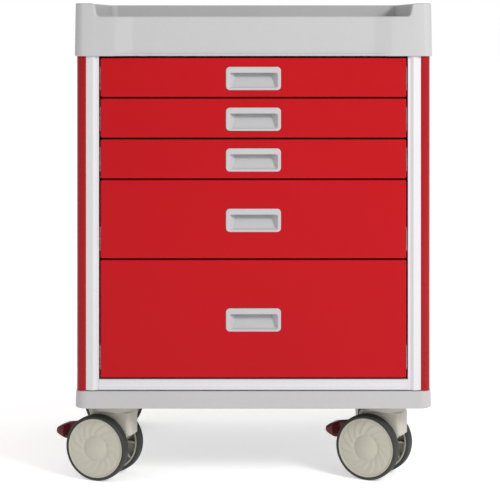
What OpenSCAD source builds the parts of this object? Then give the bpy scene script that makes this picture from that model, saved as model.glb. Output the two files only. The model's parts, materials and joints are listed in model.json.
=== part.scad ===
// Crash cart: a five-drawer emergency trolley on twin-wheel swivel casters.
// Millimetres. The origin is on the floor under the middle of the cabinet.
// +X is to the right of a person who faces the drawers, -Y is the drawer side, +Z is up.

/* [Cabinet] */
// Width across the foot of the top tray
cart_w = 678; // [640:1:720]
// Depth of the top tray, front to back
cart_d = 560; // [540:1:620]
// Height of the tray's raised rim above the floor
cart_h = 913; // [900:1:960]
// Thickness of the sheet metal panels
sheet = 1.5; // [1:0.1:2]
// Outside radius where a side panel wraps round a corner
panel_r = 14; // [8:1:15]

/* [Top tray] */
// Height of the tray at its rim
tray_h = 100; // [90:1:110]
// How far the front lip lies below the rim
lip_drop = 25; // [15:1:30]
// How far the work surface lies below the rim
tray_depth = 43; // [36:1:50]
// Thickness of the tray's side walls
tray_wall = 28; // [20:1:32]
// Width of each raised front corner
corner_w = 39; // [32:1:45]

/* [Base] */
// Height of the moulded base
base_h = 33.5; // [26:0.5:40]
// Radius of the base's corners seen from above
base_r = 24; // [10:1:40]

/* [Drawers] */
// Front-to-front pitch of the three small drawers
small_pitch = 77; // [72:0.5:80]
// Front-to-front pitch of the medium drawer
medium_pitch = 151; // [140:1:155]
// Gap round each drawer front
front_gap = 3.4; // [2.5:0.1:4]
// Thickness of a drawer front
front_t = 22; // [20:1:26]
// How far a drawer opens
drawer_travel = 420; // [300:10:430]
// Width of a recessed pull
pull_w = 104; // [90:1:120]
// Height of a recessed pull
pull_h = 44; // [44:1:50]
// How far a pull sits below the middle of its drawer front
pull_drop = 2; // [0:0.5:3]

/* [Casters] */
// Diameter of a caster wheel
wheel_d = 125; // [120:1:127]
// Width of one wheel
wheel_w = 22; // [20:1:26]
// Height from the floor to the foot of the base
caster_h = 147; // [146:1:160]
// Distance of the front swivel axes from the cart's middle, sideways
caster_x = 260; // [240:1:264]
// Distance of the rear swivel axes from the cart's middle, sideways
rear_caster_x = 270; // [240:1:275]
// Distance of each swivel axis from the cart's middle, front to back
caster_y = 205; // [180:1:210]
// Distance from the swivel axis back to the axle
trail = 29; // [28:1:34]
// Swivel angle of the front left caster at rest
front_left_turn = -20.6; // [-180:0.1:180]
// Swivel angle of the front right caster at rest
front_right_turn = -26.6; // [-180:0.1:180]
// Swivel angle of the rear left caster at rest
rear_left_turn = 0; // [-180:0.1:180]
// Swivel angle of the rear right caster at rest
rear_right_turn = -90; // [-180:0.1:180]

/* [Hidden] */
$fn = 96;
eps = 1;                              // how far a cutter runs past the face it cuts

red = [0.76, 0.12, 0.15];
grey_moulding = [0.80, 0.79, 0.80];
white_metal = [0.92, 0.92, 0.93];
bare_steel = [0.68, 0.69, 0.70];
beige = [0.69, 0.68, 0.63];
rubber_grey = [0.22, 0.24, 0.22];
maroon = [0.36, 0.08, 0.08];

// Heights
base_top = caster_h + base_h;
tray_z = cart_h - tray_h;
rail_z = base_top + 1.9;
rail_h = 20;
zone_z0 = rail_z + rail_h + front_gap / 2;
zone_z1 = tray_z - front_gap / 2;
large_pitch = zone_z1 - zone_z0 - 3 * small_pitch - medium_pitch;
pitches = [small_pitch, small_pitch, small_pitch, medium_pitch, large_pitch];
drawers = [1, 2, 3, 4, 5];

// Plan sizes, measured from the middle of the cart
panel_x = cart_w / 2 - 4.5;           // outside of the side panels
panel_y = cart_d / 2 - 8;             // outside of the panels' front and rear flanges
post_inner_x = panel_x - 42.5;        // faces that carry the slides
post_face_x = panel_x - 18;           // edge of a post's visible front
post_outer_x = panel_x - 15;
post_depth = 31;
crown = 4;                            // how far a front post stands proud of the panels
side_inner_x = cart_w / 2 - tray_wall;
tray_rear_wall = 20;
tray_front_wall = 22;
pod_proud = 6;                        // how far the tray's front corners stand forward

// Drawer details
front_y = -(panel_y + 1);             // visible face of the drawer fronts
front_w = 2 * (post_inner_x - 3);
front_skin = 2;
box_sheet = 1.2;
slide_space = 13;
box_x = post_inner_x - slide_space;   // outside of a drawer box
box_y0 = front_y + front_t;
box_len = 2 * panel_y - 58;
member_sheet = 1.3;
channel_h = 45;
middle_h = 38;
inner_h = 31;
member_len = drawer_travel + 60;      // the members still overlap when the drawer is open
channel_len = member_len + 20;
slide_rise = 30;                      // from a box's bottom to the middle of its slide

// Recessed pull, measured from the drawer's face and the pull's centre
pull_r = 7.5;
pull_proud = 2;
cup_w = pull_w - 9.5;
cup_wall = 2;
mouth_top = pull_h / 2 - 11.5;
mouth_foot = -pull_h / 2 + 5;

// Caster details, measured from the swivel axis
wheel_r = wheel_d / 2;
tyre_t = 6;
wheel_gap = 46;                       // between the two wheels of a caster
axle_r = 6;
running = 0.05;                       // radial clearance of the running fits
pressed = 0.02;                       // radial clearance of the axle in its fork
disc_inset = 4;                       // from a wheel's outer face to the back of its disc
disc_t = 3;
web_w = wheel_gap - 4;
fork_top = caster_h - 1.7;
kingpin_r = 7;
kingpin_len = 26;
plate_w = 100;
plate_t = 4;
bolt_at = 42;
pedal_pivot = [-6, 104];
pedal_pin_r = 3;
fork_wall = 5;

corners = [
    [-caster_x, -caster_y, front_left_turn],
    [caster_x, -caster_y, front_right_turn],
    [-rear_caster_x, caster_y, rear_left_turn],
    [rear_caster_x, caster_y, rear_right_turn]
];
front_left = 0;
front_right = 1;
rear_left = 2;
rear_right = 3;

// Back panel screws: heights up each rear post
back_screw_zs = [for (t = [0.06, 0.35, 0.65, 0.94]) base_top + t * (tray_z - base_top)];
back_screw_x = (post_inner_x + post_face_x) / 2;

// Sum of the first n pitches
function drop(n) = n == 0 ? 0 : pitches[n - 1] + drop(n - 1);
function front_h(i) = pitches[i - 1] - front_gap;
function front_z(i) = zone_z1 - drop(i) + front_gap / 2;
function box_z(i) = front_z(i) + 4;
function box_h(i) = front_h(i) - 12;
function slide_z(i) = box_z(i) + slide_rise;
function pull_z(i) = front_z(i) + front_h(i) / 2 - pull_drop;

// Rectangle with rounded corners, centred on the origin
module rounded_rect(w, d, r) {
    square([w - 2 * r, d], center = true);
    square([w, d - 2 * r], center = true);
    for (x = [-1, 1], y = [-1, 1])
        translate([x * (w / 2 - r), y * (d / 2 - r)]) circle(r);
}

// The same on both sides of the cart
module both_sides() {
    children();
    mirror([1, 0, 0]) children();
}

// A profile drawn in Y and Z, run sideways and centred
module run_x(w) {
    translate([-w / 2, 0, 0]) rotate([90, 0, 90]) linear_extrude(w) children();
}

// A profile drawn in X and Z, run front to back and centred
module run_y(w) {
    translate([0, w / 2, 0]) rotate([90, 0, 0]) linear_extrude(w) children();
}

// Top tray: one moulding with a work surface, thick side walls and a low front lip
module top_tray() {
    floor_z = cart_h - tray_depth;
    skin = 5;
    recess_w = 2 * side_inner_x;
    recess_d = cart_d - tray_rear_wall - tray_front_wall;
    recess_y = (tray_front_wall - tray_rear_wall) / 2;
    notch_w = cart_w - 2 * corner_w;
    middle_w = cart_w - 166;
    wall_foot = floor_z - skin - eps;
    color(grey_moulding) difference() {
        translate([0, 0, tray_z]) linear_extrude(tray_h) rounded_rect(cart_w, cart_d, 22);
        translate([0, recess_y, floor_z])
            linear_extrude(tray_depth + eps) rounded_rect(recess_w, recess_d, 15);
        translate([-notch_w / 2, -cart_d / 2 - eps, cart_h - lip_drop])
            cube([notch_w, tray_front_wall + 2 * eps, lip_drop + eps]);
        translate([-middle_w / 2, -cart_d / 2 - eps, tray_z - eps])
            cube([middle_w, pod_proud + eps, tray_h + 2 * eps]);
        difference() {
            translate([0, 0, tray_z - eps])
                linear_extrude(tray_h - tray_depth - skin + eps)
                    rounded_rect(cart_w - 2 * skin, cart_d - 4 * skin, 18);
            for (x = [-255:85:255])
                translate([x - skin / 4, -cart_d / 2, tray_z + sheet]) cube([skin / 2, cart_d, tray_h]);
            for (y = [-170:85:170])
                translate([-cart_w / 2, y - skin / 4, tray_z + sheet]) cube([cart_w, skin / 2, tray_h]);
        }
        difference() {
            translate([0, 0, wall_foot]) linear_extrude(cart_h - skin - wall_foot) difference() {
                rounded_rect(cart_w - 2 * skin, cart_d - 2 * skin, 17);
                translate([0, recess_y]) rounded_rect(recess_w + 2 * skin, recess_d + 2 * skin, 20);
                translate([-middle_w / 2 - skin, -cart_d / 2])
                    square([middle_w + 2 * skin, pod_proud + skin]);
            }
            translate([-notch_w / 2 - skin, -cart_d / 2, cart_h - lip_drop - skin])
                cube([notch_w + 2 * skin, tray_front_wall + 2 * skin, lip_drop]);
        }
    }
}

// Sheet that closes the cabinet under the tray
module top_deck() {
    color(bare_steel) translate([0, 0, tray_z])
        linear_extrude(sheet) rounded_rect(2 * (panel_x - 3), 2 * (panel_y - 6), 12);
}

// Right-hand side panel: a sheet with a flange wrapped round each corner
module side_panel() {
    z0 = base_top;
    color(red) translate([0, 0, z0]) linear_extrude(tray_z - z0) intersection() {
        difference() {
            rounded_rect(2 * panel_x, 2 * panel_y, panel_r);
            rounded_rect(2 * (panel_x - sheet), 2 * (panel_y - sheet), panel_r - sheet);
        }
        translate([post_face_x + 0.3, -cart_d / 2]) square([cart_w / 2, cart_d]);
    }
}

module back_panel() {
    color(red) difference() {
        translate([-post_face_x, panel_y - sheet, base_top + sheet])
            cube([2 * post_face_x, sheet, tray_z - base_top - sheet]);
        screw_places_back() cylinder(r = 2.1, h = 10, center = true);
    }
}

// Front corner posts: hollow extrusions with a faceted crown
module front_posts() {
    face = -(panel_y - sheet);
    outline = [
        [post_inner_x, face + post_depth], [post_inner_x, -panel_y - 0.5],
        [post_inner_x + 4.5, -panel_y - 0.5], [post_inner_x + 10, -panel_y - crown],
        [post_inner_x + 12, -panel_y - crown], [post_face_x, -panel_y],
        [post_face_x, face], [post_outer_x, face], [post_outer_x, face + post_depth]
    ];
    wall = 2.2;
    color(white_metal) both_sides() translate([0, 0, base_top + sheet])
        linear_extrude(tray_z - base_top - sheet) difference() {
            polygon(outline);
            translate([post_inner_x + wall, face + wall])
                square([post_outer_x - post_inner_x - 2 * wall, post_depth - 2 * wall]);
        }
}

module rear_posts() {
    face = panel_y - sheet;
    wall = 2.2;
    color(white_metal) difference() {
        both_sides() translate([0, 0, base_top + sheet])
            linear_extrude(tray_z - base_top - sheet) difference() {
                translate([post_inner_x, face - post_depth])
                    square([post_outer_x - post_inner_x, post_depth]);
                translate([post_inner_x + wall, face - post_depth + wall])
                    square([post_outer_x - post_inner_x - 2 * wall, post_depth - 2 * wall]);
            }
        screw_places_back() cylinder(r = 2.1, h = 10, center = true);
    }
}

// Rail between the front posts, below the lowest drawer, with a shallow groove along it
module bottom_rail() {
    y = -panel_y - crown / 2;
    color(white_metal) translate([0, 0, rail_z]) run_x(2 * post_inner_x) polygon([
        [y + 18, 0], [y + 1, 0], [y, 1], [y, 3.5], [y + 1.2, 4.5], [y + 1.2, 14],
        [y, 15], [y, rail_h - 2], [y + 2, rail_h], [y + 18, rail_h]
    ]);
}

// Sheet under the lowest drawer
module cabinet_floor() {
    color(bare_steel) translate([0, 2.5, base_top])
        linear_extrude(sheet) rounded_rect(2 * (panel_x - 3), 2 * panel_y - 14, 8);
}

// Base: a ribbed moulding, open below, with a solid block over each caster plate
module base_tray() {
    skin = 4;
    half_d = cart_d / 2 - 4;
    color(grey_moulding) difference() {
        translate([0, 0, caster_h]) linear_extrude(base_h)
            rounded_rect(cart_w - 2, 2 * half_d, base_r);
        difference() {
            translate([0, 0, caster_h - eps]) linear_extrude(base_h - skin + eps)
                rounded_rect(cart_w - 2 - 2 * skin, 2 * (half_d - skin), base_r - skin);
            for (x = [-240:80:240])
                translate([x - skin / 4, -cart_d / 2, caster_h + plate_t]) cube([skin / 2, cart_d, base_h]);
            for (y = [-160:80:160])
                translate([-cart_w / 2, y - skin / 4, caster_h + plate_t]) cube([cart_w, skin / 2, base_h]);
            for (c = corners)
                translate([c.x - plate_w / 2, c.y - plate_w / 2, caster_h + plate_t])
                    cube([plate_w, plate_w, base_h]);
        }
        screw_places_casters() translate([0, 0, -eps]) cylinder(r = 4.1, h = 20);
    }
}

// Fixed channels of the drawer slides, one pair for each drawer
module slide_channels() {
    color(bare_steel) for (i = drawers)
        translate([0, 0, slide_z(i)]) both_sides()
            run_y(channel_len) channel(post_inner_x, -1, channel_h, 10.5);
}

// A channel profile whose web is at x and whose flanges reach len to one side of it
module channel(x, side, h, len) {
    web_x = side < 0 ? x - member_sheet : x;
    flange_x = side < 0 ? x - len : x;
    translate([web_x, -h / 2]) square([member_sheet, h]);
    for (z = [-h / 2, h / 2 - member_sheet]) translate([flange_x, z]) square([len, member_sheet]);
}

// Plates with a kingpin, bolted under the base
module caster_heads() {
    color(bare_steel) difference() {
        for (c = corners) translate([c.x, c.y, caster_h]) {
            linear_extrude(plate_t) rounded_rect(plate_w, plate_w, 8);
            translate([0, 0, -kingpin_len]) cylinder(r = kingpin_r, h = kingpin_len + plate_t);
        }
        screw_places_casters() translate([0, 0, -eps]) cylinder(r = 4.1, h = 20);
    }
}

// Where the back panel's screws go, pointing forwards
module screw_places_back() {
    for (side = [-1, 1], z = back_screw_zs)
        translate([side * back_screw_x, panel_y, z]) rotate([90, 0, 0]) children();
}

// Where the caster bolts go, pointing up
module screw_places_casters() {
    for (c = corners, x = [-bolt_at, bolt_at], y = [-bolt_at, bolt_at])
        translate([c.x + x, c.y + y, caster_h]) children();
}

module screws() {
    color(bare_steel) {
        screw_places_back() {
            cylinder(r = 2, h = 4);
            translate([0, 0, -1.8]) cylinder(r = 4, h = 1.8);
        }
        screw_places_casters() {
            cylinder(r = 4, h = 18);
            translate([0, 0, -4]) difference() {
                cylinder(r = 6.5, h = 4);
                translate([0, 0, -eps]) cylinder(r = 3.2, h = 3 + eps, $fn = 6);
            }
        }
    }
}

// Drawer front: a folded pan with a window for the pull
module drawer_front(i) {
    h = front_h(i);
    color(red) translate([0, box_y0, front_z(i) + h / 2]) rotate([90, 0, 0]) difference() {
        linear_extrude(front_t) rounded_rect(front_w, h, 2.5);
        translate([0, 0, -eps]) linear_extrude(front_t - front_skin + eps)
            rounded_rect(front_w - 2 * front_skin, h - 2 * front_skin, 1.5);
        translate([-cup_w / 2 - 0.3, mouth_foot - cup_wall - 0.8 - pull_drop, 0])
            cube([cup_w + 0.6, 2 * cup_wall + mouth_top - mouth_foot + 6.1, front_t + eps]);
    }
}

// Drawer box: an open steel tray
module drawer_box(i) {
    inner = 2 * (box_x - box_sheet);
    color(bare_steel) translate([0, box_y0, box_z(i)]) difference() {
        translate([-box_x, 0, 0]) cube([2 * box_x, box_len, box_h(i)]);
        translate([-inner / 2, box_sheet, box_sheet])
            cube([inner, box_len - 2 * box_sheet, box_h(i)]);
    }
}

// Recessed pull: a bezel with a finger cup that reaches up behind its top edge
module drawer_pull(i) {
    cup_top = mouth_top + 5;
    color(grey_moulding) translate([0, front_y, pull_z(i)]) difference() {
        union() {
            rotate([90, 0, 0]) linear_extrude(pull_proud) rounded_rect(pull_w, pull_h, pull_r);
            run_x(cup_w) polygon([
                [0, mouth_foot - cup_wall], [2.5, mouth_foot - cup_wall], [17, 2],
                [17, cup_top + cup_wall], [0, cup_top + cup_wall]
            ]);
        }
        run_x(cup_w - 2 * cup_wall) polygon([
            [-pull_proud - eps, mouth_foot], [1.5, mouth_foot], [15, 3], [15, cup_top],
            [3, cup_top], [3, mouth_top], [-pull_proud - eps, mouth_top]
        ]);
    }
}

// Slide members fixed to the sides of a drawer box
module drawer_slides(i) {
    color(bare_steel) translate([0, -10, slide_z(i)]) both_sides()
        run_y(member_len) channel(box_x, 1, inner_h, 7.5);
}

// Middle slide members, which follow the drawer at half its travel
module slide_middle(i) {
    color(bare_steel) translate([0, -10, slide_z(i)]) both_sides()
        run_y(member_len) channel(post_inner_x - 2.6, -1, middle_h, 8);
}

// Everything on a caster is drawn with its swivel axis on Z and its wheels trailing to -X
module at_corner(k) {
    translate([corners[k].x, corners[k].y, 0]) rotate([0, 0, corners[k].z]) children();
}

// Caster fork: a cap round the kingpin and a hollow housing between the wheels, with its axle
module fork(k, braked) {
    cap_h = 16;
    color(beige) at_corner(k) difference() {
        union() {
            translate([0, 0, fork_top - cap_h]) linear_extrude(cap_h) {
                circle(30);
                translate([-16, 0]) circle(26);
                translate([-16, -26]) square([16, 52]);
            }
            run_y(web_w) {
                polygon([
                    [34, fork_top - 1], [34, 88], [-14, 46], [-trail, wheel_r - 12],
                    [-trail - 16, wheel_r + 4], [-56, 116], [-46, fork_top - 1]
                ]);
                translate([-trail, wheel_r]) circle(17);
            }
        }
        run_y(web_w - 2 * fork_wall) polygon([
            [29, 119], [29, 60], [-12, 40], [-12, 81], [-44, 81], [-49, 113], [-44, 119]
        ]);
        translate([0, 0, caster_h - kingpin_len - 4]) cylinder(r = kingpin_r + running, h = 2 * kingpin_len);
        translate([-trail, 0, wheel_r]) rotate([90, 0, 0])
            cylinder(r = axle_r + pressed, h = wheel_gap, center = true);
        if (braked) {
            translate([-80, -6.5, 81]) cube([84, 13, 33]);
            translate([pedal_pivot.x, 0, pedal_pivot.y]) rotate([90, 0, 0])
                cylinder(r = pedal_pin_r + running, h = wheel_gap, center = true);
        }
    }
    color(bare_steel) at_corner(k) translate([-trail, 0, wheel_r]) rotate([90, 0, 0])
        cylinder(r = axle_r, h = wheel_gap + 2 * (wheel_w - disc_inset - 0.4), center = true);
}

// Places a wheel's turned shape: side -1 is wheel a, side 1 is wheel b
module on_axle(k, side) {
    at_corner(k) translate([-trail, 0, wheel_r])
        rotate([90, 0, 0]) mirror([0, 0, side > 0 ? 1 : 0])
            translate([0, 0, wheel_gap / 2]) children();
}

// Wheel core: hub, web disc with a domed centre, and rim
module wheel(k, side) {
    rim_r = wheel_r - tyre_t;
    dome_r = 68;
    dome_w = 23;
    dome_h = 3;
    color(beige) on_axle(k, side) rotate_extrude() {
        translate([axle_r + running, 0.5]) square([8, wheel_w - disc_inset]);
        translate([rim_r - 4, 1]) square([4, wheel_w - 2]);
        translate([0, wheel_w - disc_inset]) square([rim_r, disc_t]);
        intersection() {
            translate([0, wheel_w - 1 + dome_h - dome_r]) circle(dome_r);
            translate([0, wheel_w - 2]) square([dome_w, dome_h + 2]);
        }
    }
}

// Solid tyre with rounded shoulders
module tyre(k, side) {
    shoulder = tyre_t / 2;
    color(rubber_grey) on_axle(k, side) rotate_extrude() {
        translate([wheel_r - tyre_t, 0]) square([tyre_t - shoulder, wheel_w]);
        translate([wheel_r - tyre_t, shoulder]) square([tyre_t, wheel_w - 2 * shoulder]);
        for (y = [shoulder, wheel_w - shoulder]) translate([wheel_r - shoulder, y]) circle(shoulder);
    }
}

// Brake pedal: an arm between the wheels with a toe pad behind them, on its own pin
module pedal(k) {
    color(maroon) at_corner(k) {
        run_y(11) polygon([
            [-1, 111], [-60, 106], [-106, 98], [-106, 80], [-60, 94], [-4, 97], [-1, 99]
        ]);
        run_y(44) polygon([
            [-104, 99], [-113, 98], [-122, 93], [-127, 87], [-127, 81], [-121, 75], [-104, 66]
        ]);
        translate([pedal_pivot.x, 0, pedal_pivot.y]) rotate([90, 0, 0])
            cylinder(r = pedal_pin_r, h = web_w - 1, center = true);
    }
}

top_tray();
top_deck();
mirror([1, 0, 0]) side_panel();  // left_side_panel
side_panel();  // right_side_panel
back_panel();
front_posts();
rear_posts();
bottom_rail();
cabinet_floor();
base_tray();
slide_channels();
caster_heads();
screws();
drawer_front(1);  // drawer_1_front
drawer_box(1);  // drawer_1_box
drawer_pull(1);  // drawer_1_pull
drawer_slides(1);  // drawer_1_slides
slide_middle(1);  // slide_1_middle
drawer_front(2);  // drawer_2_front
drawer_box(2);  // drawer_2_box
drawer_pull(2);  // drawer_2_pull
drawer_slides(2);  // drawer_2_slides
slide_middle(2);  // slide_2_middle
drawer_front(3);  // drawer_3_front
drawer_box(3);  // drawer_3_box
drawer_pull(3);  // drawer_3_pull
drawer_slides(3);  // drawer_3_slides
slide_middle(3);  // slide_3_middle
drawer_front(4);  // drawer_4_front
drawer_box(4);  // drawer_4_box
drawer_pull(4);  // drawer_4_pull
drawer_slides(4);  // drawer_4_slides
slide_middle(4);  // slide_4_middle
drawer_front(5);  // drawer_5_front
drawer_box(5);  // drawer_5_box
drawer_pull(5);  // drawer_5_pull
drawer_slides(5);  // drawer_5_slides
slide_middle(5);  // slide_5_middle
fork(front_left, true);  // front_left_fork
wheel(front_left, -1);  // front_left_wheel_a
tyre(front_left, -1);  // front_left_tyre_a
wheel(front_left, 1);  // front_left_wheel_b
tyre(front_left, 1);  // front_left_tyre_b
pedal(front_left);  // front_left_pedal
fork(front_right, true);  // front_right_fork
wheel(front_right, -1);  // front_right_wheel_a
tyre(front_right, -1);  // front_right_tyre_a
wheel(front_right, 1);  // front_right_wheel_b
tyre(front_right, 1);  // front_right_tyre_b
pedal(front_right);  // front_right_pedal
fork(rear_left, false);  // rear_left_fork
wheel(rear_left, -1);  // rear_left_wheel_a
tyre(rear_left, -1);  // rear_left_tyre_a
wheel(rear_left, 1);  // rear_left_wheel_b
tyre(rear_left, 1);  // rear_left_tyre_b
fork(rear_right, false);  // rear_right_fork
wheel(rear_right, -1);  // rear_right_wheel_a
tyre(rear_right, -1);  // rear_right_tyre_a
wheel(rear_right, 1);  // rear_right_wheel_b
tyre(rear_right, 1);  // rear_right_tyre_b
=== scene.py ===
"""Looks of the crash cart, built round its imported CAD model. Shapes are drawn in millimetres."""
import json
import math

import bpy
from mathutils import Matrix, Vector


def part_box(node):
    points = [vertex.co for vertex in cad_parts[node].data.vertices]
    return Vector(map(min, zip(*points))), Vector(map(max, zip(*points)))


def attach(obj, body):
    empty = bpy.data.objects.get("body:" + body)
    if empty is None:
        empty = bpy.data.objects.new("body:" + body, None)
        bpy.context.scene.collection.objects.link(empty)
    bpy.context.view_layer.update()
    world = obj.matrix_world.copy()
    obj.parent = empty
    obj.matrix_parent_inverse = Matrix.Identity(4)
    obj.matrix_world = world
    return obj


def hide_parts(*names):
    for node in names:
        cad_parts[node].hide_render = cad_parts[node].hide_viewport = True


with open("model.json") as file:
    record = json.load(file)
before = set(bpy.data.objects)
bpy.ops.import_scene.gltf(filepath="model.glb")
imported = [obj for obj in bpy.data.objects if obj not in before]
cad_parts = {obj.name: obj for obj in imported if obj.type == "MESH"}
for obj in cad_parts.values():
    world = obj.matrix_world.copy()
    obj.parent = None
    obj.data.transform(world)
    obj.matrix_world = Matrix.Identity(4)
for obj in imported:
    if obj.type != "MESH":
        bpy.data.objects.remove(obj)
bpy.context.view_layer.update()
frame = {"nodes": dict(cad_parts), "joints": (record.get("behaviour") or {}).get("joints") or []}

MM = 0.001
TAU = 2 * math.pi
NODES = frame["nodes"]
JOINTS = {j["name"]: j for j in frame["joints"]}
CORNERS = ("front_left", "front_right", "rear_left", "rear_right")


def box_mm(node):
    """Lowest and highest corner of a CAD node, in millimetres."""
    low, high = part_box(node)
    return Vector(low) / MM, Vector(high) / MM


# ---------------------------------------------------------------- materials


class Shader:
    """A material whose colour, roughness and bump come from procedural textures in object space."""

    def __init__(self, name, colour, roughness, metallic=0.0, **sockets):
        self.material = bpy.data.materials.new(name)
        self.material.use_nodes = True
        self.tree = self.material.node_tree
        self.bsdf = self.tree.nodes["Principled BSDF"]
        self.colour = colour
        self.roughness = roughness
        self.bsdf.inputs["Base Color"].default_value = (*colour, 1)
        self.bsdf.inputs["Roughness"].default_value = roughness
        self.bsdf.inputs["Metallic"].default_value = metallic
        for socket, value in sockets.items():
            self.bsdf.inputs[socket.replace("_", " ")].default_value = value
        self.coords = self.tree.nodes.new("ShaderNodeTexCoord")

    def link(self, a, b):
        self.tree.links.new(a, b)

    def stretched(self, scale):
        """Object coordinates scaled by a different amount along each axis."""
        mapping = self.tree.nodes.new("ShaderNodeMapping")
        mapping.inputs["Scale"].default_value = scale
        self.link(self.coords.outputs["Object"], mapping.inputs["Vector"])
        return mapping.outputs["Vector"]

    def noise(self, scale, detail=3.0, vector=None):
        node = self.tree.nodes.new("ShaderNodeTexNoise")
        node.inputs["Scale"].default_value = scale
        node.inputs["Detail"].default_value = detail
        self.link(vector or self.coords.outputs["Object"], node.inputs["Vector"])
        return node.outputs["Fac"]

    def cells(self, scale):
        node = self.tree.nodes.new("ShaderNodeTexVoronoi")
        node.inputs["Scale"].default_value = scale
        self.link(self.coords.outputs["Object"], node.inputs["Vector"])
        return node.outputs["Distance"]

    def ranged(self, value, low, high, start=0.3, end=0.7):
        """A texture's value, from start to end, spread over low to high."""
        node = self.tree.nodes.new("ShaderNodeMapRange")
        self.link(value, node.inputs["Value"])
        node.inputs["From Min"].default_value = start
        node.inputs["From Max"].default_value = end
        node.inputs["To Min"].default_value = low
        node.inputs["To Max"].default_value = high
        return node.outputs["Result"]

    def vary_colour(self, value, other, low=0.0, high=1.0):
        """Blends the base colour towards another one where the texture is high."""
        mix = self.tree.nodes.new("ShaderNodeMix")
        mix.data_type = "RGBA"
        self.link(self.ranged(value, low, high), mix.inputs["Factor"])
        base = self.bsdf.inputs["Base Color"]
        if base.is_linked:
            self.link(base.links[0].from_socket, mix.inputs[6])
        else:
            mix.inputs[6].default_value = (*self.colour, 1)
        mix.inputs[7].default_value = (*other, 1)
        self.link(mix.outputs[2], base)
        return self

    def vary_roughness(self, value, spread):
        low, high = self.roughness - spread, self.roughness + spread
        self.link(self.ranged(value, low, high), self.bsdf.inputs["Roughness"])
        return self

    def bump(self, value, height, strength=1.0):
        """Adds a bump of that height in metres, on top of any bump already there."""
        node = self.tree.nodes.new("ShaderNodeBump")
        node.inputs["Strength"].default_value = strength
        node.inputs["Distance"].default_value = height
        self.link(value, node.inputs["Height"])
        normal = self.bsdf.inputs["Normal"]
        if normal.is_linked:
            self.link(normal.links[0].from_socket, node.inputs["Normal"])
        self.link(node.outputs["Normal"], normal)
        return self


def moulded_plastic(name, colour, roughness=0.42, grain=0.00006):
    """Injection moulded plastic: a fine spark-eroded grain and faint handling marks."""
    shader = Shader(name, colour, roughness, Specular_IOR_Level=0.3)
    darker = [0.90 * c for c in colour]
    shader.vary_colour(shader.noise(6.0, 5.0), darker, 0.0, 0.35)
    shader.vary_colour(shader.noise(140.0, 2.0), darker, 0.0, 0.25)
    shader.vary_roughness(shader.noise(22.0, 6.0), 0.06)
    shader.bump(shader.noise(1400.0, 2.0), grain, 0.5)
    return shader.material


def powder_coat(name, colour, roughness=0.34, peel=0.00012, gloss=0.14):
    """Baked paint with a slight orange peel under a clear top layer."""
    shader = Shader(name, colour, roughness, Specular_IOR_Level=gloss)
    darker = [0.88 * c for c in colour]
    shader.vary_colour(shader.noise(3.0, 4.0), darker, 0.0, 0.5)
    shader.vary_roughness(shader.noise(30.0, 5.0), 0.05)
    shader.bump(shader.noise(420.0, 1.0), peel, 0.35)
    return shader.material


def coated_profile(name, colour):
    """White coated extrusion with faint die lines along its length."""
    shader = Shader(name, colour, 0.28, Specular_IOR_Level=0.4)
    lines = shader.noise(1.0, 2.0, shader.stretched((1600.0, 1600.0, 1.5)))
    shader.vary_colour(shader.noise(5.0, 3.0), [0.94 * c for c in colour], 0.0, 0.5)
    shader.vary_roughness(lines, 0.05)
    shader.bump(lines, 0.00003, 0.4)
    return shader.material


def plated_steel(name, colour, roughness, lines=(500.0, 6.0, 500.0)):
    """Zinc plated sheet or bar with rolling lines and a faint spangle."""
    shader = Shader(name, colour, roughness, metallic=1.0)
    rolled = shader.noise(1.0, 3.0, shader.stretched(lines))
    shader.vary_colour(shader.cells(70.0), [0.86 * c for c in colour], 0.0, 0.6)
    shader.vary_colour(shader.noise(9.0, 4.0), [0.9 * c for c in colour], 0.0, 0.4)
    shader.vary_roughness(rolled, 0.08)
    shader.bump(rolled, 0.00002, 0.4)
    return shader.material


def tyre_rubber(name, colour):
    """Grey rubber, dusty in patches and finely pitted."""
    shader = Shader(name, colour, 0.62, Specular_IOR_Level=0.35)
    dust = [0.6 * c + 0.02 for c in colour]
    shader.vary_colour(shader.noise(38.0, 6.0), dust, 0.0, 0.55)
    shader.vary_roughness(shader.noise(60.0, 4.0), 0.08)
    shader.bump(shader.noise(1100.0, 3.0), 0.00008, 0.6)
    return shader.material


def studio_floor(name):
    shader = Shader(name, (0.90, 0.90, 0.90), 0.6, Specular_IOR_Level=0.2)
    shader.bsdf.inputs["Emission Color"].default_value = (1, 1, 1, 1)
    shader.bsdf.inputs["Emission Strength"].default_value = 0.46
    shader.vary_roughness(shader.noise(2.0, 2.0), 0.04)
    return shader.material


GREY = moulded_plastic("grey_moulding", (0.420, 0.417, 0.423))
PULL = moulded_plastic("pull_plastic", (0.425, 0.422, 0.432), 0.38, 0.00004)
BEIGE = moulded_plastic("caster_nylon", (0.47, 0.455, 0.395), 0.46)
CORE = moulded_plastic("wheel_nylon", (0.44, 0.425, 0.355), 0.44)
MAROON = moulded_plastic("pedal_plastic", (0.115, 0.010, 0.011), 0.30)
RED_FRONT = powder_coat("red_front", (0.395, 0.0034, 0.0070), 0.34, 0.00012, 0.11)
RED_PANEL = powder_coat("red_panel", (0.30, 0.0022, 0.0060), 0.30, 0.00002, 0.18)
WHITE = coated_profile("white_profile", (0.560, 0.558, 0.575))
DRAWER_GREY = powder_coat("drawer_sheet", (0.52, 0.53, 0.54), 0.4)
ZINC = plated_steel("zinc_sheet", (0.60, 0.61, 0.62), 0.42)
SLIDE = plated_steel("slide_steel", (0.68, 0.69, 0.70), 0.3)
BOLT = plated_steel("screw_steel", (0.58, 0.58, 0.59), 0.34, (400.0, 400.0, 400.0))
RUBBER = tyre_rubber("tyre_rubber", (0.024, 0.028, 0.024))

# ---------------------------------------------------------------- meshes


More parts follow.
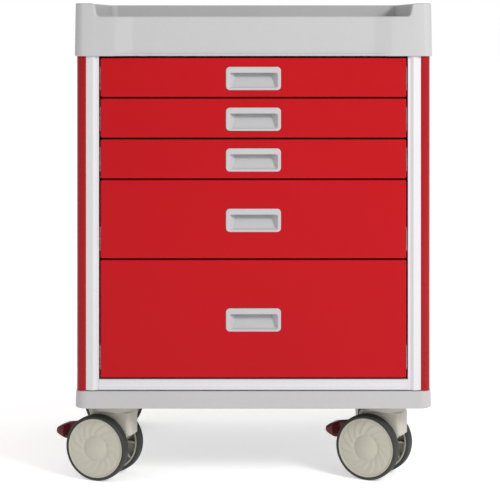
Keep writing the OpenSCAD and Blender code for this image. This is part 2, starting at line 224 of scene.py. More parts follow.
def piece(name, verts, faces, material, body, stands_for=(), flat_angle=35):
    """A mesh piece from points in millimetres, smooth except at edges sharper than flat_angle."""
    mesh = bpy.data.meshes.new(name)
    mesh.from_pydata([Vector(v) * MM for v in verts], [], faces)
    mesh.validate()
    mesh.materials.append(material)
    obj = bpy.data.objects.new(name, mesh)
    bpy.context.scene.collection.objects.link(obj)
    mesh.shade_smooth()
    mesh.set_sharp_from_angle(angle=math.radians(flat_angle))
    weigh(obj)
    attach(obj, body)
    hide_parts(*stands_for)
    return obj


def weigh(obj):
    """Keeps large flat faces flat where they meet small rounded edges."""
    weighted = obj.modifiers.new("weighted", "WEIGHTED_NORMAL")
    weighted.keep_sharp = True
    weighted.weight = 80


class Mesh:
    """Gathers rings of points and the faces between them."""

    def __init__(self):
        self.verts = []
        self.faces = []

    def ring(self, points):
        start = len(self.verts)
        self.verts.extend(points)
        return range(start, start + len(points))

    def band(self, a, b, closed=True):
        """Quads from one ring to the next; the outside is to the right of the ring's direction going up."""
        n = len(a)
        for i in range(n if closed else n - 1):
            j = (i + 1) % n
            self.faces.append((a[i], a[j], b[j], b[i]))

    def cap(self, ring, flip=False):
        self.faces.append(tuple(reversed(ring)) if flip else tuple(ring))

    def loft(self, rings, ends=True):
        """Joins rings given as lists of points, and closes the first and the last."""
        made = [self.ring(r) for r in rings]
        for a, b in zip(made, made[1:]):
            self.band(a, b)
        if ends:
            self.cap(made[0], flip=True)
            self.cap(made[-1])
        return made

    def turned(self, transform):
        self.verts = [transform @ Vector(v) for v in self.verts]
        return self


def rounded_rect(w, d, r, steps=6, cx=0.0, cy=0.0):
    """Points round a rectangle with rounded corners, counterclockwise from the right side's foot."""
    points = []
    for k, (sx, sy) in enumerate([(1, 1), (-1, 1), (-1, -1), (1, -1)]):
        for i in range(steps + 1):
            a = TAU / 4 * (k + i / steps)
            x = cx + sx * (w / 2 - r) + r * math.cos(a)
            y = cy + sy * (d / 2 - r) + r * math.sin(a)
            points.append((x, y))
    return points


def arc(cx, cy, r, start, end, steps):
    """Points along an arc, angles in degrees."""
    angles = [math.radians(start + (end - start) * i / steps) for i in range(steps + 1)]
    return [(cx + r * math.cos(a), cy + r * math.sin(a)) for a in angles]


def circle(r, z, steps):
    """A level ring of points round Z."""
    return [(r * math.cos(TAU * i / steps), r * math.sin(TAU * i / steps), z) for i in range(steps)]


def revolve(mesh, profile, steps):
    """Turns a profile of (radius, height) points round Z. A radius of 0 closes an end at a point."""
    rings = [mesh.ring(circle(r, z, steps)) for r, z in profile]
    for a, b in zip(rings, rings[1:]):
        mesh.band(a, b)
    return rings


def smoothstep(t):
    t = min(max(t, 0.0), 1.0)
    return t * t * (3 - 2 * t)


def dress(node, material, bevel=0.0):
    """Gives a CAD node its material and, where asked, softened edges."""
    obj = NODES[node]
    obj.data.materials.clear()
    obj.data.materials.append(material)
    if bevel:
        weld = obj.modifiers.new("weld", "WELD")
        weld.merge_threshold = 0.00001
        plane = obj.modifiers.new("planar", "DECIMATE")
        plane.decimate_type = "DISSOLVE"
        plane.angle_limit = math.radians(0.5)
        edge = obj.modifiers.new("edges", "BEVEL")
        edge.width = bevel * MM
        edge.segments = 2
        edge.limit_method = "ANGLE"
        edge.angle_limit = math.radians(30)
        obj.data.shade_smooth()
        weigh(obj)


# ---------------------------------------------------------------- top tray


TRAY_LIP = 25                      # from the rim down to the low front lip
TRAY_DEPTH = 43                    # from the rim down to the work surface
TRAY_SIDE, TRAY_FRONT, TRAY_BACK = 28, 22, 20   # widths of the rim's walls
TRAY_CORNER = 39                   # width of a raised front corner
TRAY_RADIUS, RECESS_RADIUS = 22, 15
LIP_FILLET = 7                     # where the lip starts to rise to a corner
NOTCH_FILLET = 5                   # where that rise meets the rim


def tray_stations(low, high):
    """Walks round the rim: outer point, its normal, inner point, its normal, height, and which way is up.

    Up is a direction in X and Z, which turns sideways where the low lip climbs to a corner.
    """
    half_w = high.x
    front, back = low.y, high.y
    rim, lip = high.z, high.z - TRAY_LIP
    outer_r, inner_r = TRAY_RADIUS, RECESS_RADIUS
    inner_x, inner_front, inner_back = half_w - TRAY_SIDE, front + TRAY_FRONT, back - TRAY_BACK
    proud = 6                      # the corners stand this far in front of the middle
    ramp_in, ramp_out = 228, 261   # where the face slopes from the middle out to a corner
    notch = half_w - TRAY_CORNER

    def face_y(x):
        return front + proud * min(max((ramp_out - abs(x)) / (ramp_out - ramp_in), 0.0), 1.0)

    def inner_y(x):
        past = max(abs(x) - (inner_x - inner_r), 0.0)
        return inner_front + inner_r - math.sqrt(inner_r ** 2 - past ** 2)

    half = []
    for x in [0, 60, 120, 180, ramp_in - 6, ramp_in - 1.5, ramp_in + 1.5, 236, 244.5, 253, ramp_out - 1.5,
              ramp_out + 1.5, ramp_out + 6, 276, notch - 12]:
        half.append((x, lip, (0, 1)))
    fillet_x, fillet_z = notch - 10, lip + LIP_FILLET
    fillet = arc(fillet_x, fillet_z, LIP_FILLET, -90, -8, 6)
    for x, z in fillet[:-1]:
        m = Vector((fillet_x - x, fillet_z - z)).normalized()
        half.append((x, z, tuple(m)))
    slant = Vector(fillet[-1])
    top = Vector((notch - 0.6, rim - NOTCH_FILLET))
    m = Vector((-(top - slant).y, (top - slant).x)).normalized()
    half.append((slant.x, slant.y, tuple(m)))
    half.append((top.x, top.y, tuple(m)))
    centre = top - NOTCH_FILLET * m
    lean = math.atan2(m.y, m.x)
    for i in range(1, 5):
        a = lean + (TAU / 4 - lean) * i / 4
        m = Vector((math.cos(a), math.sin(a)))
        half.append((*(centre + NOTCH_FILLET * m), tuple(m)))
    stations = []
    for x, z, m in half:
        stations.append(((x, face_y(x)), (0, -1), (x, inner_y(x)), (0, 1), z, m))

    def along(outer, n, inner):
        stations.append((outer, n, inner, (-n[0], -n[1]), rim, (0, 1)))

    start_in = math.degrees(math.asin((half[-1][0] - (inner_x - inner_r)) / inner_r))
    for i in range(1, 9):
        a = math.radians(-90 + 90 * i / 8)
        b = math.radians(-90 + start_in + (90 - start_in) * i / 8)
        n = (math.cos(a), math.sin(a))
        outer = (half_w - outer_r + outer_r * n[0], front + outer_r + outer_r * n[1])
        inner = (
            inner_x - inner_r + inner_r * math.cos(b),
            inner_front + inner_r + inner_r * math.sin(b),
        )
        along(outer, n, inner)
    y0, y1 = front + outer_r, back - outer_r
    i0, i1 = inner_front + inner_r, inner_back - inner_r
    for t in [0.04, 0.15, 0.3, 0.5, 0.7, 0.85, 0.96]:
        along((half_w, y0 + t * (y1 - y0)), (1, 0), (inner_x, i0 + t * (i1 - i0)))
    for i in range(9):
        a = TAU / 4 * i / 8
        n = (math.cos(a), math.sin(a))
        outer = (half_w - outer_r + outer_r * n[0], back - outer_r + outer_r * n[1])
        inner = (inner_x - inner_r + inner_r * n[0], inner_back - inner_r + inner_r * n[1])
        along(outer, n, inner)
    for t in [0.9, 0.6, 0.3, 0.0]:
        along((t * (half_w - outer_r), back), (0, 1), (t * (inner_x - inner_r), inner_back))
    flipped = []
    for outer, n, inner, ni, z, m in reversed(stations[1:-1]):
        flipped.append(((-outer[0], outer[1]), (-n[0], n[1]), (-inner[0], inner[1]), (-ni[0], ni[1]), z, m))
    return stations + flipped


def top_tray():
    """One moulding: a drafted wall with rounded rims, swept round the recessed work surface."""
    low, high = box_mm("top_tray")
    foot, rim = low.z, high.z
    floor = rim - TRAY_DEPTH
    edge = 3.0                     # radius of the rim's edges
    draft = 1.8                    # how far the wall leans in from foot to rim
    half_middle = 283              # the ledge at the foot fades out before this
    ledge_out = 2.2                # how far the ledge stands out
    columns = []
    for outer, n, inner, ni, z, m in tray_stations(low, high):
        side = 1 if outer[0] >= 0 else -1
        o, i = Vector(outer), Vector(inner)
        n, ni = Vector(n), Vector(ni)
        middle = 1 - smoothstep((abs(outer[0]) - half_middle + 30) / 30) if n.y < -0.9 else 0.0
        ledge = min(ledge_out * middle, max(o.y - low.y, 0.0))

        def outside(height, extra=0.0):
            p = o - n * (draft * (height - foot) / (rim - foot) - extra)
            return (p.x, p.y, height)

        def rounded(point, normal, a):
            """A point on the rim's rounded edge, a from 0 at the wall to 90 degrees on top."""
            back = edge * (1 - math.cos(a))
            down = edge * (1 - math.sin(a))
            p = point - normal * back
            return (p.x - side * m[0] * down, p.y, z - m[1] * down)

        top_out = Vector(outside(z)[:2])
        column = [
            (*(o - n * 5), foot + 14), (*(o - n * 5), foot + 0.6), (*(o - n * 4.2), foot),
            outside(foot, -0.8), outside(foot + 0.8, ledge * 0.8), outside(foot + 2.2, ledge),
            outside(foot + 4.2, ledge * 0.75), outside(foot + 5.2, ledge * 0.1), outside(foot + 8),
            outside(foot + 40), outside(rim - 36),
        ]
        column += [rounded(top_out, n, TAU / 4 * k / 4) for k in range(5)]
        column += [rounded(i, ni, TAU / 4 * (4 - k) / 4) for k in range(5)]
        for above, inward in [(12, 1.2), (7, 1.8), (4.5, 2.6), (2, 4.6), (0.6, 6.8), (0, 9.5)]:
            column.append((*(i + ni * inward), floor + above))
        columns.append(column)
    mesh = Mesh()
    rings = [mesh.ring([c[k] for c in columns]) for k in range(len(columns[0]))]
    for a, b in zip(rings, rings[1:]):
        mesh.band(a, b)
    mesh.cap(rings[0], flip=True)
    mesh.cap(rings[-1])
    piece("tray_moulding", mesh.verts, mesh.faces, GREY, "cabinet", ["top_tray"])


# ---------------------------------------------------------------- base


BASE_WALL = 4
BASE_RADIUS = 24
RIB_PITCH = 80
RIB_HALF = 1                       # half of a rib's thickness
BLOCK_HALF = 50                    # half the width of the block over a caster


def beam(mesh, low, high):
    """A plain closed block inside a moulding, such as a rib."""
    (x0, y0, z0), (x1, y1, z1) = low, high
    corners = [(x0, y0), (x1, y0), (x1, y1), (x0, y1)]
    mesh.loft([[(x, y, z0) for x, y in corners], [(x, y, z1) for x, y in corners]])


def base_tray():
    """The bumper base: a skirt that widens slightly downwards, ribbed and open below."""
    low, high = box_mm("base_tray")
    w, d = high.x - low.x, high.y - low.y
    foot, top = low.z, high.z
    soft = 3                       # radius of the skirt's edges
    angles = (0, 0.4, 0.8, 1.2, TAU / 4)

    def loop(inset, z):
        r = BASE_RADIUS - min(inset, 18)
        return [(x, y, z) for x, y in rounded_rect(w - 2 * inset, d - 2 * inset, r, 10)]

    rings = [loop(BASE_WALL, top - BASE_WALL), loop(BASE_WALL, foot + 1), loop(BASE_WALL - 0.6, foot + 0.2)]
    rings += [loop(soft - soft * math.sin(a), foot + soft - soft * math.cos(a)) for a in angles]
    rings += [loop(0.2, foot + 8), loop(1.0, top - 6)]
    rings += [loop(1.2 + soft * (1 - math.cos(a)), top - soft + soft * math.sin(a)) for a in angles]
    rings += [loop(9, top)]
    mesh = Mesh()
    mesh.loft(rings)
    rib_foot = box_mm("caster_heads")[1].z + 0.2
    rib_top = top - BASE_WALL / 2
    for at in [RIB_PITCH * k for k in range(-3, 4)]:
        beam(mesh, (at - RIB_HALF, low.y + 2, rib_foot), (at + RIB_HALF, high.y - 2, rib_top))
    for at in [RIB_PITCH * k for k in range(-2, 3)]:
        beam(mesh, (low.x + 2, at - RIB_HALF, rib_foot), (high.x - 2, at + RIB_HALF, rib_top))
    for corner in CORNERS:
        x, y = Vector(JOINTS[f"{corner}_swivel"]["pos_m"][:2]) / MM
        beam(mesh, (x - BLOCK_HALF, y - BLOCK_HALF, rib_foot), (x + BLOCK_HALF, y + BLOCK_HALF, rib_top))
    piece("base_moulding", mesh.verts, mesh.faces, GREY, "cabinet", ["base_tray"])


# ---------------------------------------------------------------- drawers


WINDOW_W, WINDOW_H = 95, 37.6      # opening in a front behind its pull
WINDOW_DROP = 3                    # from the front's middle down to the window's
MOUTH_W, MOUTH_H = 90.5, 27.5      # opening of a pull's finger cup
MOUTH_RISE = 5                     # from the pull's foot up to the mouth's


def upright(points, y):
    """Points drawn in X and Z, placed at depth y, so that a ring faces the front."""
    return [(x, y, z) for x, z in points]


def drawer_front(k):
    """A pan with softened edges and a window behind the pull."""
    node = f"drawer_{k}_front"
    low, high = box_mm(node)
    w, h = high.x - low.x, high.z - low.z
    zc = (low.z + high.z) / 2
    soft = 2.4                     # width of the rounded edge

    def loop(inset, y, r=3.0):
        return upright(rounded_rect(w - 2 * inset, h - 2 * inset, max(r - inset, 0.5), 5, 0, zc), y)

    def window(grow, y):
        return upright(rounded_rect(WINDOW_W + grow, WINDOW_H + grow, 3, 5, 0, zc - WINDOW_DROP), y)

    skin = low.y + 2
    rings = [window(0, skin), window(0, low.y + 0.4), window(0.8, low.y)]
    rings += [loop(8, low.y + 0.02, 10)]
    for i in range(6):
        a = TAU / 4 * i / 5
        rings.append(loop(soft * (1 - math.sin(a)), low.y + 0.05 + 0.45 * soft * (1 - math.cos(a))))
    rings += [loop(0, high.y - 0.4), loop(0.4, high.y), loop(1.4, high.y), loop(1.6, high.y - 0.4)]
    rings += [loop(2, skin + 0.4), loop(3, skin)]
    mesh = Mesh()
    made = mesh.loft(rings, ends=False)
    mesh.band(made[-1], made[0])
    piece(f"front_{k}", mesh.verts, mesh.faces, RED_FRONT, f"drawer_{k}", [node])


def drawer_pull(k):
    """Flush pull: a rounded bezel round a wedge-shaped finger cup, deepest behind the top edge."""
    node = f"drawer_{k}_pull"
    low, high = box_mm(node)
    w, h = high.x - low.x, high.z - low.z
    zc = (low.z + high.z) / 2
    face = low.y
    back = face + 2
    mouth_z = low.z + MOUTH_RISE + MOUTH_H / 2
    cup_shell = 2.0                # thickness of the cup's wall

    def bezel(inset, y):
        return upright(rounded_rect(w - 2 * inset, h - 2 * inset, 7.5 - inset, 7, 0, zc), y)

    def mouth(grow, y):
        return upright(rounded_rect(MOUTH_W + 2 * grow, MOUTH_H + 2 * grow, 3 + grow, 7, 0, mouth_z), y)

    def cup(t, grow=0.0):
        """The cup's outline at a share t of its depth: its foot slopes up and its sides lean in."""
        points = []
        for x, z in rounded_rect(MOUTH_W + 2 * grow, MOUTH_H + 2 * grow, 3 + grow, 7):
            up = (z + MOUTH_H / 2) / MOUTH_H
            depth = 2.2 + 13.5 * smoothstep(up * 1.5)
            lean = t * (3.6 + 0.52 * depth)
            points.append((
                math.copysign(max(abs(x) - lean, 0.0), x),
                back + t * depth + grow,
                mouth_z + z + t * 3.5 * smoothstep(up * 1.2 - 0.2),
            ))
        return points

    outer = [bezel(0.6, back), bezel(0.1, back - 0.2), bezel(0, back - 0.8)]
    outer += [bezel(0.5, face + 0.45), bezel(1.4, face + 0.05), bezel(2.4, face)]
    inner = [mouth(1.6, face + 0.1), mouth(0.9, face + 0.35), mouth(0.3, face + 0.9), mouth(0, face + 1.8)]
    inner += [cup(0.0), cup(0.25), cup(0.5), cup(0.75), cup(0.92)]
    mesh = Mesh()
    made = mesh.loft(outer + inner, ends=False)
    deep = mesh.ring([(x * 0.985, y + 0.3, mouth_z + (z - mouth_z) * 0.97 + 0.2) for x, y, z in cup(1.0)])
    mesh.band(made[-1], deep)
    mesh.cap(deep)
    behind = [mesh.ring(cup(t, cup_shell)) for t in (1.0, 0.5, 0.0)]
    mesh.cap(behind[0], flip=True)
    for a, b in zip(behind, behind[1:] + made[:1]):
        mesh.band(a, b)
    piece(f"pull_{k}", mesh.verts, mesh.faces, PULL, f"drawer_{k}", [node])


def drawer_box(k):
    """Folded sheet box with a hemmed top edge and softened corners."""
    node = f"drawer_{k}_box"
    low, high = box_mm(node)
    w, d = high.x - low.x, high.y - low.y
    cy = (low.y + high.y) / 2
    foot, top = low.z, high.z

    def loop(inset, z, r):
        return [(x, y, z) for x, y in rounded_rect(w - 2 * inset, d - 2 * inset, r, 5, 0, cy)]

    rings = [loop(3, foot, 2), loop(1.2, foot + 0.25, 3), loop(0.3, foot + 1.1, 3), loop(0, foot + 2.5, 3)]
    rings += [loop(0, top - 1.2, 3), loop(0.35, top - 0.35, 3), loop(1.2, top, 2.5)]
    rings += [loop(5.0, top, 2), loop(5.9, top - 0.35, 2), loop(6.2, top - 1.2, 2), loop(6.2, top - 7, 2)]
    rings += [loop(5.0, top - 7.2, 2), loop(5.0, top - 1.4, 2), loop(1.3, top - 1.4, 2)]
    rings += [loop(1.2, foot + 4, 2), loop(1.8, foot + 2.2, 2), loop(3.6, foot + 1.3, 2)]
    mesh = Mesh()
    mesh.loft(rings)
    piece(f"box_{k}", mesh.verts, mesh.faces, DRAWER_GREY, f"drawer_{k}", [node])


# ---------------------------------------------------------------- casters


TRAIL = 29.0                       # from the swivel axis back to the axle
AXLE_Z = 62.5
HALF_GAP = 23.0                    # from the caster's middle to a wheel's inner face
HOOD_TOP = 145.3
NOSE_FOOT, NOSE_SLOPE = 88, 1.143  # from this height down, the fork's front slopes back to the axle
BOSS_RADIUS = 17.0                 # rounded foot of the fork round the axle
PEDAL_PIN = (-6, 0, 104)


def stadium(x0, x1, half, r, z):
    """A rounded outline from x0 to x1 and half as wide to each side, at height z."""
    r = min(r, half - 0.01, (x1 - x0) / 2 - 0.01)
    return [(x, y, z) for x, y in rounded_rect(x1 - x0, 2 * half, r, 8, (x0 + x1) / 2, 0)]


def caster_place(corner):
    """Takes a shape with its swivel axis on Z and its wheels trailing to -X to a corner of the cart."""
    swivel = Vector(JOINTS[f"{corner}_swivel"]["pos_m"]) / MM
    axle = Vector(JOINTS[f"{corner}_roll_a"]["axis"])
    turn = math.atan2(-axle.x, axle.y)
    return Matrix.Translation((swivel.x, swivel.y, 0)) @ Matrix.Rotation(turn, 4, "Z")


def lerp(table, z):
    """Reads a value between the rows of a table of (z, value), highest z first."""
    for (z1, a), (z0, b) in zip(table, table[1:]):
        if z >= z0:
            t = smoothstep((z1 - z) / (z1 - z0)) if z1 > z0 else 0.0
            return a + (b - a) * t
    return table[-1][1]


def fork(corner, braked):
    """The hood over the kingpin and the web that runs down between the wheels to the axle."""
    top = HOOD_TOP
    # half width, rear end and front end at a few heights
    half = [(top, 28.0), (141.0, 29.6), (131.5, 30.0), (129.6, 28.5), (126.8, 21.0), (60.0, 20.6), (0, 20.6)]
    rear = [(top, -44.5), (134.0, -49.0), (122.0, -55.0), (114.0, -55.8), (84.0, -51.0), (66.0, -48.5),
            (0, -48.5)]
    nose = [(top, 33.2), (140.0, 34.0), (0, 34.0)]
    heights = [top, top - 0.35, top - 1.2, top - 2.6, 140.5, 137, 134, 131.6, 130.4, 129.6, 128.9, 128.2,
               127.5, 126.8, 125.5, 122, 118, 112, 106, 100, 94, 90, 88, 86.5, 84, 81, 78, 75, 72, 69, 66, 63,
               60, 57, 54, 51.5, 49.3, 47.5, 46.4, 45.8]
    rings = []
    for z in heights:
        chord = math.sqrt(max(BOSS_RADIUS ** 2 - (AXLE_Z - z) ** 2, 0.0))
        x1 = lerp(nose, z)
        if z < NOSE_FOOT:
            x1 = max(x1 - (NOSE_FOOT - z) * NOSE_SLOPE, -TRAIL + chord + 0.8)
        x0 = lerp(rear, z) if z > AXLE_Z else -TRAIL - chord
        soften = {0: 1.6, 1: 0.8, 2: 0.2}.get(len(rings), 0.0)   # rounds the hood's top edge
        wide = lerp(half, z) - soften
        corner_r = 30.0 if z > 131 else 11.0 + max(z - 126.8, 0) * 4
        rings.append(stadium(x0 + soften, x1 - soften, wide, corner_r, z))
    rings.append(stadium(-TRAIL - 2, -TRAIL + 2, 17.0, 2, AXLE_Z - BOSS_RADIUS + 0.1))
    mesh = Mesh()
    mesh.loft(rings[::-1])
    kingpin_bore = drum(7.05, 32, (0, 0, 132))
    hollow = prism([(29, 119), (29, 60), (-12, 40), (-12, 81), (-44, 81), (-49, 113), (-44, 119)], 16)
    cutters = [kingpin_bore, hollow]
    if braked:
        pedal_slot = prism([(4, 81), (-80, 81), (-80, 114), (4, 114)], 6.5)
        cutters.append(pedal_slot)
    mesh.turned(caster_place(corner))
    obj = piece(f"{corner}_hood", mesh.verts, mesh.faces, BEIGE, f"{corner}_caster",
                [f"{corner}_fork"], 50)
    for cutter in cutters:
        carve(obj, cutter.turned(caster_place(corner)))
    axle = Mesh()
    revolve(axle, [(0, -40.5), (4.8, -40.5), (6, -39.3), (6, 39.3), (4.8, 40.5), (0, 40.5)], 40)
    lay = Matrix.Translation((-TRAIL, 0, AXLE_Z)) @ Matrix.Rotation(TAU / 4, 4, "X")
    axle.turned(caster_place(corner) @ lay)
    piece(f"{corner}_axle", axle.verts, axle.faces, BOLT, f"{corner}_caster")


def drum(r, length, centre):
    """A closed upright cylinder."""
    mesh = Mesh()
    mesh.loft([circle(r, z, 48) for z in (-length / 2, length / 2)])
    return mesh.turned(Matrix.Translation(centre))


def prism(outline, half):
    """A closed block with an outline drawn in X and Z, reaching half as far to each side."""
    mesh = Mesh()
    mesh.loft([[(x, y, z) for x, z in outline] for y in (-half, half)])
    return mesh


def carve(obj, cutter):
    """Cuts a closed mesh out of a piece and keeps the result as its mesh."""
    mesh = bpy.data.meshes.new("cutter")
    mesh.from_pydata([Vector(v) * MM for v in cutter.verts], [], cutter.faces)
    tool = bpy.data.objects.new("cutter", mesh)
    bpy.context.scene.collection.objects.link(tool)
    tool.matrix_world = obj.matrix_world.copy()
    cut = obj.modifiers.new("cut", "BOOLEAN")
    cut.operation = "DIFFERENCE"
    cut.solver = "EXACT"
    cut.object = tool
    obj.modifiers.move(len(obj.modifiers) - 1, 0)
    obj.modifiers["weighted"].show_viewport = False
    bpy.context.view_layer.update()
    carved = bpy.data.meshes.new_from_object(obj.evaluated_get(bpy.context.evaluated_depsgraph_get()))
    obj.modifiers.remove(obj.modifiers["cut"])
    obj.modifiers["weighted"].show_viewport = True
    old = obj.data
    obj.data = carved
    bpy.data.meshes.remove(old)
    bpy.data.objects.remove(tool)
    bpy.data.meshes.remove(mesh)


def wheel_matrix(corner, side):
    """A wheel drawn round Z with its outer face up goes on its axle: side -1 is wheel a, 1 is wheel b."""
    axle = Matrix.Translation((-TRAIL, 0, AXLE_Z))
    out = Matrix.Rotation(-side * TAU / 4, 4, "X")
    return caster_place(corner) @ axle @ out @ Matrix.Translation((0, 0, HALF_GAP))


FACE_INNER, FACE_WIDTH = 23.6, 29  # the ring of a wheel's face that carries the swirl
HUB_TOP = 24.0
BLADES = 15
SWIRL_SWEEP = 1.35                 # how many blades one blade crosses on its way out
SWIRL_HEIGHT = 1.35
BLADE_CREST = 0.86                 # share of a blade's width at which it is highest


def swirl(r, angle):
    """Height of the turbine pattern pressed into a wheel's face."""
    reach = (r - FACE_INNER) / FACE_WIDTH
    turn = (angle / TAU * BLADES + SWIRL_SWEEP * reach) % 1.0
    ramp = turn if turn < BLADE_CREST else (1 - turn) * BLADE_CREST / (1 - BLADE_CREST)
    ends = smoothstep(reach * 5) * smoothstep((1 - reach) * 8)
    return SWIRL_HEIGHT * ramp * ends


def wheel(corner, letter, side):
    """Wheel core: domed hub cap, swirled face, rim, and a ribbed hollow behind."""
    steps = 180
    dome_radius = 63
    dome = [(r, HUB_TOP - r * r / (2 * dome_radius)) for r in (5, 9, 13, 16.5, 19.5, 21.5, 22.5)]
    face = [(23.0, 19.5)]
    face += [(FACE_INNER + FACE_WIDTH * t / 14, 19.4 + 0.7 * smoothstep(t / 4)) for t in range(15)]
    rim = [(53.2, 20.3), (53.6, 21.1), (54.2, 21.6), (55.4, 21.65), (56.1, 21.2), (56.4, 20.5)]
    back = [(56.4, 1.4), (56.0, 1.0), (53.4, 1.0), (52.8, 1.6), (52.3, 14.6), (51, 16.2), (47.5, 16.6),
            (18, 16.6), (15.0, 15.6), (14.2, 13.5), (14.0, 1.4), (13.4, 0.8), (6.6, 0.8), (6.05, 1.4),
            (6.05, 17.8)]
    bore_end = back[-1][1]
    mesh = Mesh()
    made = []
    for r, z in dome + face + rim + back:
        points = circle(r, z, steps)
        if (r, z) in face:
            points = [(x, y, z + swirl(r, TAU * i / steps)) for i, (x, y, _) in enumerate(points)]
        made.append(mesh.ring(points))
    tip = mesh.ring([(0, 0, HUB_TOP)])[0]
    pit = mesh.ring([(0, 0, bore_end)])[0]
    for a, b in zip(made, made[1:]):
        mesh.band(b, a)
    for i in range(steps):
        j = (i + 1) % steps
        mesh.faces.append((made[0][i], made[0][j], tip))
        mesh.faces.append((made[-1][j], made[-1][i], pit))
    spokes = 10
    for k in range(spokes):
        spoke = Mesh()
        beam(spoke, (13.6, -1, 2.4), (52.8, 1, 17))
        spoke.turned(Matrix.Rotation(TAU * k / spokes, 4, "Z"))
        start = len(mesh.verts)
        mesh.verts.extend(spoke.verts)
        mesh.faces.extend(tuple(start + i for i in f) for f in spoke.faces)
    mesh.turned(wheel_matrix(corner, side))
    piece(f"{corner}_core_{letter}", mesh.verts, mesh.faces, CORE, f"{corner}_wheel_{letter}",
          [f"{corner}_wheel_{letter}"], 40)


def tyre(corner, letter, side):
    """Tyre with a raised tread band, two fine grooves and rounded shoulders."""
    shoulder, centre = 4.9, 57.6   # radius of a shoulder, and how far out from the axle it is drawn
    profile = [(56.45, 1.2), (56.9, 0.35), (centre, 0.2)]
    profile += arc(centre, 5.1, shoulder, -90, -18, 5)[1:]
    profile += [(62.3, 5.2), (62.4, 6.3), (61.8, 6.7), (61.8, 7.4), (62.4, 7.8), (62.5, 8.7), (62.5, 13.3),
                (62.4, 14.2), (61.8, 14.6), (61.8, 15.3), (62.4, 15.7), (62.3, 16.8)]
    profile += arc(centre, 16.9, shoulder, 18, 90, 5)
    profile += [(56.9, 21.65), (56.45, 20.8)]
    mesh = Mesh()
    rings = revolve(mesh, profile, 128)
    mesh.band(rings[-1], rings[0])
    mesh.turned(wheel_matrix(corner, side))
    piece(f"{corner}_tyre_{letter}_rubber", mesh.verts, mesh.faces, RUBBER, f"{corner}_wheel_{letter}",
          [f"{corner}_tyre_{letter}"], 40)


def pedal(corner):
    """Brake pedal: an arm between the wheels that spreads into a rounded toe pad."""
    # sections from the pivot to the toe: X, half width, foot, top
    rows = [(-0.5, 3.5, 101.5, 107), (-2, 4.6, 99, 110), (-8, 5.3, 97, 111), (-30, 5.4, 95.5, 108.8),
            (-60, 5.4, 93, 105.8), (-84, 5.5, 84.5, 102.0), (-96, 5.8, 78, 100.2), (-102, 7.5, 71, 99.4),
            (-105, 15.0, 66.8, 98.8), (-107.5, 20.0, 67.6, 98.2), (-111, 21.6, 69.6, 97.6),
            (-116, 21.9, 72.4, 95.6), (-121, 21.0, 75.4, 93.0), (-124.6, 18.2, 77.6, 90.2),
            (-126.6, 13.0, 79.8, 87.6)]
    squareness = 0.55              # 1 would give round sections, 0 square ones
    pad_start, pad_half, pad_dish = -104, 22, 1.3
    rings = []
    for x, half, z0, z1 in rows:
        zc, hz = (z0 + z1) / 2, (z1 - z0) / 2
        ring = []
        for i in range(28):
            a = TAU * i / 28
            c, s = math.cos(a), math.sin(a)
            y = half * math.copysign(abs(c) ** squareness, c)
            z = zc + hz * math.copysign(abs(s) ** squareness, s)
            if x < pad_start and s > 0:
                z -= pad_dish * (1 - (y / pad_half) ** 2)
            ring.append((x, y, z))
        rings.append(ring)
    mesh = Mesh()
    mesh.loft(rings)
    mesh.turned(caster_place(corner))
    obj = piece(f"{corner}_toe_pedal", mesh.verts, mesh.faces, MAROON, f"{corner}_pedal",
                [f"{corner}_pedal"], 60)
    smooth = obj.modifiers.new("smooth", "SUBSURF")
    smooth.levels = smooth.render_levels = 1
    obj.modifiers.move(len(obj.modifiers) - 1, 0)
    pin = Mesh()
    revolve(pin, [(0, -20.4), (2.4, -20.4), (3, -19.8), (3, 19.8), (2.4, 20.4), (0, 20.4)], 32)
    lay = Matrix.Translation(PEDAL_PIN) @ Matrix.Rotation(TAU / 4, 4, "X")
    pin.turned(caster_place(corner) @ lay)
    piece(f"{corner}_pedal_pin", pin.verts, pin.faces, BOLT, f"{corner}_pedal")


# ---------------------------------------------------------------- stage


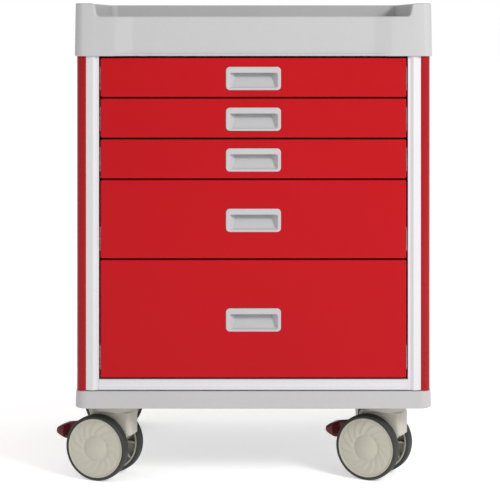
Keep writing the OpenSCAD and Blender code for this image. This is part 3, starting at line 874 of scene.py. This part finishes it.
def studio():
    """A surround that looks white but lights dimly, a soft key light at the right and a pale floor."""
    room_light = 0.68
    world = bpy.data.worlds.new("studio")
    bpy.context.scene.world = world
    world.use_nodes = True
    tree = world.node_tree
    surround = tree.nodes["Background"]
    surround.inputs["Color"].default_value = (1, 1, 1, 1)
    paper = tree.nodes.new("ShaderNodeMapRange")
    paper.inputs["To Min"].default_value = room_light
    paper.inputs["To Max"].default_value = 1.0
    tree.links.new(tree.nodes.new("ShaderNodeLightPath").outputs["Is Camera Ray"], paper.inputs["Value"])
    tree.links.new(paper.outputs["Result"], surround.inputs["Strength"])
    bpy.context.scene.view_settings.view_transform = "Standard"

    light = bpy.data.lights.new("key", "AREA")
    light.size = 0.9
    light.energy = 78
    key = bpy.data.objects.new("key", light)
    bpy.context.scene.collection.objects.link(key)
    key.location = (2.0, -2.6, 2.2)
    aim = Vector((0, 0, 0.45)) - key.location
    key.rotation_euler = aim.to_track_quat("-Z", "Y").to_euler()

    reach = 30
    floor = bpy.data.meshes.new("floor")
    floor.from_pydata([(-reach, -reach, 0), (reach, -reach, 0), (reach, reach, 0), (-reach, reach, 0)], [],
                      [(0, 1, 2, 3)])
    floor.materials.append(studio_floor("floor"))
    obj = bpy.data.objects.new("floor", floor)
    bpy.context.scene.collection.objects.link(obj)


def camera():
    """A level view straight at the drawers from just under rim height, framed by shifting the lens."""
    lens = bpy.data.cameras.new("view")
    lens.sensor_width = 36
    lens.lens = 123.75
    lens.shift_x = -0.0068
    lens.shift_y = -0.464
    lens.clip_end = 100
    obj = bpy.data.objects.new("view", lens)
    bpy.context.scene.collection.objects.link(obj)
    obj.location = (0, -3.52, 0.885)
    obj.rotation_euler = (TAU / 4, 0, 0)
    bpy.context.scene.camera = obj


# ---------------------------------------------------------------- the cart

camera()
top_tray()
base_tray()
for name in ("left_side_panel", "right_side_panel", "back_panel"):
    dress(name, RED_PANEL)
for name in ("front_posts", "rear_posts", "bottom_rail"):
    dress(name, WHITE, 0.5)
for name in ("top_deck", "cabinet_floor"):
    dress(name, ZINC)
dress("slide_channels", SLIDE)
dress("caster_heads", ZINC)
dress("screws", BOLT)
for number in range(1, 6):
    drawer_front(number)
    drawer_pull(number)
    drawer_box(number)
    dress(f"drawer_{number}_slides", SLIDE)
    dress(f"slide_{number}_middle", SLIDE)
for place in CORNERS:
    has_brake = place.startswith("front")
    fork(place, has_brake)
    for wheel_letter, wheel_side in (("a", -1), ("b", 1)):
        wheel(place, wheel_letter, wheel_side)
        tyre(place, wheel_letter, wheel_side)
    if has_brake:
        pedal(place)
studio()
